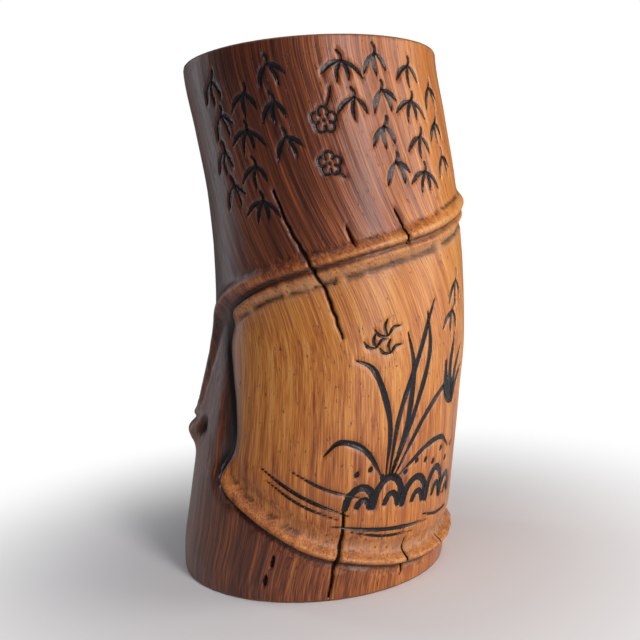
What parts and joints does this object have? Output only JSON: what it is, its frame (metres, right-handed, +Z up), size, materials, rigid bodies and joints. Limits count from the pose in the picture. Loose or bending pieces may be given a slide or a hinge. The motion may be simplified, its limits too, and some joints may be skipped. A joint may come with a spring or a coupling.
{
  "type": "brush pot",
  "caption": "Standing pot for brushes, cut from one bowed length of bamboo with slanting nodes that meet at a bud, with a wooden floor disc pegged into its foot.",
  "frame": {"origin": "middle of the pot's bounding box, on the surface that the foot stands on", "axes": "+Z up along the culm, +X to the picture's right, towards which the culm bows, -Y to the viewer"},
  "size_m": [0.0922, 0.0816, 0.15],
  "materials": {
    "culm_bamboo": "rubbed to a dark red-brown gloss",
    "floor_wood": "oiled",
    "peg_bamboo": "cut flush and darkened"
  },
  "bodies": {
    "root": {"culm": "culm_bamboo", "floor_disc": "floor_wood", "floor_peg_left": "peg_bamboo", "floor_peg_back": "peg_bamboo", "floor_peg_right": "peg_bamboo"}
  },
  "joints": []
}
